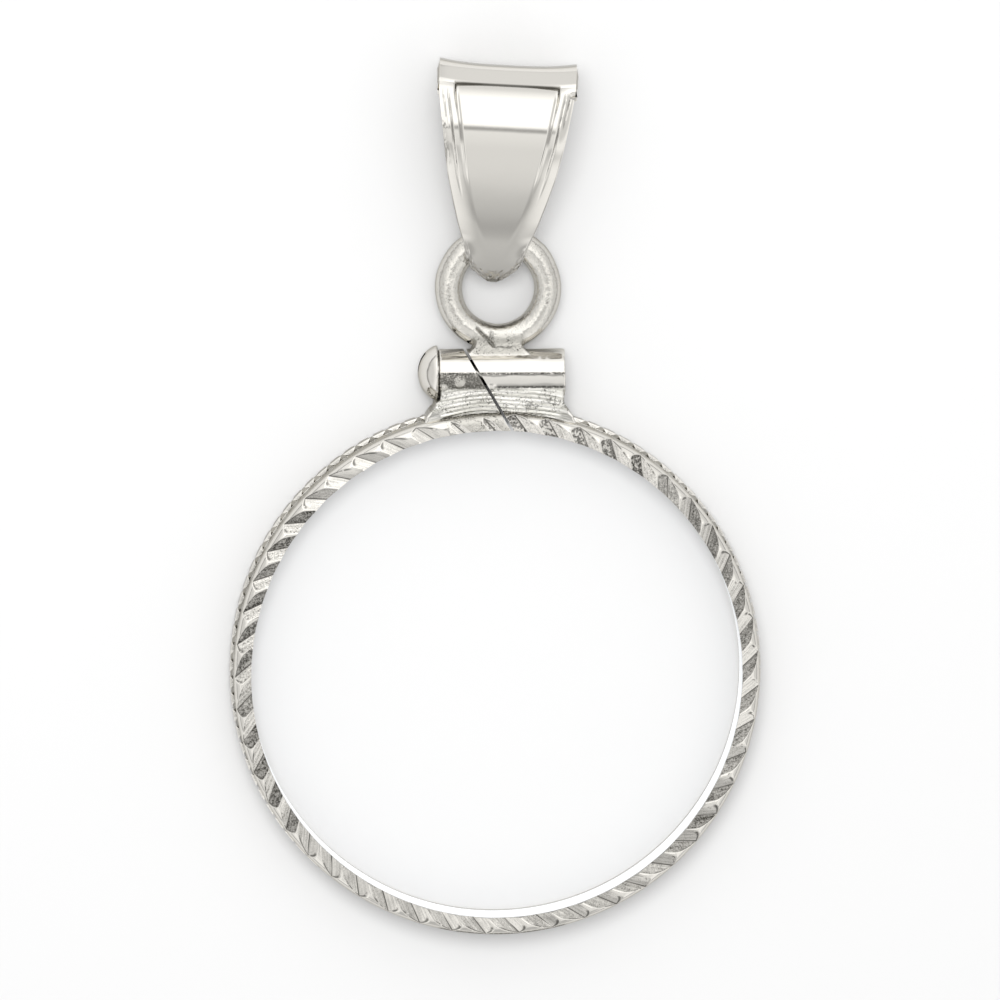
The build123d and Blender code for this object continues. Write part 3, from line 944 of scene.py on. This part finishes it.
def bailRows():
    # the outer surface from the crease round the bend, the back, the nose and up the front again
    noseMiddle = Vector((bail["noseRadius"] - bail["nose"], 0))
    bendMiddle = Vector((bail["reach"] - bail["bend"], bail["rest"]))
    gap = bendMiddle - noseMiddle
    lean = math.degrees(math.atan2(gap.y, gap.x))
    back = lean - math.degrees(math.acos((bail["noseRadius"] - bail["bend"]) / gap.length))
    top, low = 90 + bail["topSlope"], 90 + bail["noseSlope"]
    crease = 90 - bail["crease"]
    rows = []

    def facing(degrees):
        return Vector((math.cos(math.radians(degrees)), math.sin(math.radians(degrees))))

    def bend(middle, radius, first, last, steps):
        for i in range(steps + 1):
            degrees = first + (last - first) * i / steps
            size = radius(degrees) if callable(radius) else radius
            rows.append((middle + facing(degrees) * size, facing(degrees)))

    bend(bendMiddle, bandRadius, crease, back, 96)
    bend(bendMiddle, bail["bend"], back - 0.6, back - 0.7, 1)
    start, end = rows[-1][0], noseMiddle + facing(back) * bail["noseRadius"]
    rows.extend((start.lerp(end, i / 40), facing(back)) for i in range(1, 40))
    bend(noseMiddle, bail["noseRadius"], back, low - 360, 40)
    start, end = rows[-1][0], bendMiddle + facing(top) * bail["bend"]
    reach = (end - start).length
    leave, arrive = facing(low - 90) * reach, facing(top - 90) * reach
    for i in range(1, 60):
        t = i / 60
        place = (start * (1 - 3 * t * t + 2 * t ** 3) + end * (3 * t * t - 2 * t ** 3)
                 + leave * (t - 2 * t * t + t ** 3) + arrive * (t ** 3 - t * t))
        rows.append((place, facing(low + (top - low) * t)))
    bend(bendMiddle, bail["bend"], top, crease + 0.5, 44)
    return rows


def bailStrip(rows):  # the outer surface: a row of corners is carried round the loop
    fine = [bail["fineFrom"] + (1 - bail["fineFrom"]) * i / bail["fineColumns"]
            for i in range(1, bail["fineColumns"] + 1)]
    half = [bail["fineFrom"] * i / bail["wideColumns"] for i in range(1, bail["wideColumns"] + 1)] + fine
    shares = [-share for share in reversed(half)] + [0.0] + half
    inset = bail["wall"] / 2
    halves = [outlineWidth((place - normal * inset).x) for place, normal in rows]
    bpy.ops.object.select_all(action="DESELECT")
    bpy.ops.mesh.primitive_plane_add(size=2)
    piece = settle(named("chainBail", polishedBail))
    pick(piece, "VERT", lambda place: place.x > 0 or place.y > 0)
    bpy.ops.mesh.delete(type="VERT")
    bpy.ops.mesh.select_all(action="SELECT")
    bpy.ops.transform.translate(value=(0, rows[0][0].x + 1, rows[0][0].y))
    for share, nextShare in zip(shares, shares[1:]):
        bpy.ops.mesh.extrude_vertices_move(TRANSFORM_OT_translate={"value": (nextShare - share, 0, 0)})
    bpy.ops.mesh.select_all(action="SELECT")
    bpy.ops.transform.resize(value=(halves[0], 1, 1), center_override=(0, 0, 0))
    for number in range(1, len(rows) + 1):
        place, before = rows[number % len(rows)][0], rows[number - 1][0]
        share = halves[number % len(rows)] / halves[number - 1]
        bpy.ops.mesh.extrude_region_move(
            TRANSFORM_OT_translate={"value": (0, place.x - before.x, place.y - before.y)})
        bpy.ops.transform.resize(value=(share, 1, 1), center_override=(0, 0, 0))
    objectMode()
    cleanUp(piece, 0.0008)
    return piece


def roundBend(place):  # how far round the bend a place lies, in degrees from straight above its middle
    return math.degrees(math.atan2(place.y - bail["reach"] + bail["bend"], place.z - bail["rest"]))


def fromEdge(place):  # how far inside the bail's outline a place lies
    return outlineWidth(place.y) - abs(place.x)


def onBand(place):  # true past the crease, on the plain band
    return place.y > bail["reach"] - bail["bend"] - 0.02 and roundBend(place) > bail["crease"] - 0.2


def bailSunk(place):  # how far the border, its grooves and the flank lie under the loop's plain surface
    if onBand(place) or place.z < 0.5 or place.y < -0.8:
        return 0
    edge, depth = fromEdge(place), 0
    for at, deep, half, fadeFrom, fadeTo in bailGrooves:
        depth += deep * (1 - ease(abs(edge - at), 0, half)) * ease(place.y, fadeFrom, fadeTo)
    depth *= 1 - ease(place.y, 5.1, 5.5)
    drop = border["drop"] + (border["topDrop"] - border["drop"]) * ease(place.y, 2.6, 4.2)
    drop *= 1 - 0.8 * ease(place.y, 5.1, 5.55)
    return depth + drop * min(max(1 - edge / border["width"], 0), 1) ** 1.2 * ease(place.y, -0.8, 0.2)


def bandFlare(place):  # how far the band's ends turn out
    return bail["bandFlare"] * (abs(place.x) / bail["halfWidth"]) ** 3 * ease(place.z, -0.7, 0.4)


def bailProud(place):  # how far the borders of the front rise to run on into the band
    if onBand(place) or place.z < 0.5:
        return 0
    share = 1 - ease(fromEdge(place), border["inside"] - 0.06, border["inside"] + 0.06)
    return (bail["bandProud"] * 0.9 + bandFlare(place)) * share * ease(place.y, 4.3, 5.6)


def bailFlank(place):  # how far the band's and the front's right edge is ground away
    edge = outlineWidth(place.y) - place.x
    along = ease(place.y, 3.2, 4.6) * (1 - ease(place.y, 5.2, 5.6))
    return along * (1 - ease(edge, 0, border["flank"])) * ease(place.z, 0.2, 0.9)


def bailGrooveEndsDark(place):  # the dark ends of the grooves, under the bend
    edge = fromEdge(place)
    across = max(1 - ease(abs(edge - 0.62), 0.03, 0.09), 1 - ease(abs(edge - 0.34), 0.02, 0.06))
    return across * ease(place.y, 3.45, 3.75) * (1 - ease(place.y, 4.15, 4.4)) if place.z > 1 else 0


def bailRough(place):  # where the nose and the filed left edge are rough
    edge = fromEdge(place)
    nose = 1 - ease(place.y, -1.3, -0.95)
    rim = (1 - ease(edge, 0.05, 0.2)) * (1 - ease(place.y, -0.5, 0.0))
    filed = 0.3 * (1 - ease(edge, 0.08, 0.22)) * ease(place.y, 2.6, 3.0) * (1 - ease(place.y, 4.3, 4.8))
    if place.x > 0 or place.z < 0.5:
        filed = 0
    return max(nose, rim, filed) * ease(place.z, -0.8, -0.45)


def bailStainAndPaintedShade(place):  # how dark the metal is: painted shade in the crease, and darker on the rough nose and at the grooves' upper ends
    inside = ease(fromEdge(place), border["inside"] - 0.05, border["inside"])
    crease = (1 - ease(abs(roundBend(place) - bail["crease"] + 0.4), 0.2, 1.6)) * inside
    return max(crease * 0.8 if place.z > 2 and place.y > 4 else 0, bailRough(place) * 0.35, bailGrooveEndsDark(place) * 0.55)


def frontHeight(along):  # height of the loop's front at a distance above the wire
    return 0.9 + 2.2 * ease(along, -2.2, 4.6)


def makeBail():
    piece = bailStrip(bailRows())
    print("bail strip:", len(piece.data.polygons), "faces")
    deepest, highest = 0.5, 4  # a weight of 1 stands for this much
    weigh(piece, "flare", lambda place: bandFlare(place) / deepest if onBand(place) else 0)
    weigh(piece, "proud", lambda place: bailProud(place) / deepest)
    displace(piece, "flare", deepest)
    displace(piece, "proud", deepest)
    weigh(piece, "sunk", lambda place: bailSunk(place) / deepest)
    displace(piece, "sunk", -deepest)
    weigh(piece, "flank", bailFlank)
    displace(piece, "flank", -border["flankDrop"], direction="Z")
    modify(piece, "SOLIDIFY", thickness=bail["wall"], offset=-1.0)
    modify(piece, "BEVEL", width=bail["edge"], segments=3, limit_method="ANGLE", angle_limit=math.radians(62))
    crust = clouds("crustClouds", 0.07, 3)
    weigh(piece, "rough", bailRough)
    displace(piece, "rough", bail["crust"], crust, 0.5)
    chart(piece, "stain", bailStainAndPaintedShade)
    weigh(piece, "skew", lambda place: (frontHeight(place.y) - place.z) / highest)
    displace(piece, "skew", bail["skew"], direction="X")
    piece.rotation_euler = (0, 0, math.radians(-bail["turn"]))
    piece.location = bail["place"]
    return settle(piece)


chainBail = makeBail()
finish(chainBail, "bezel", "bail", 40)
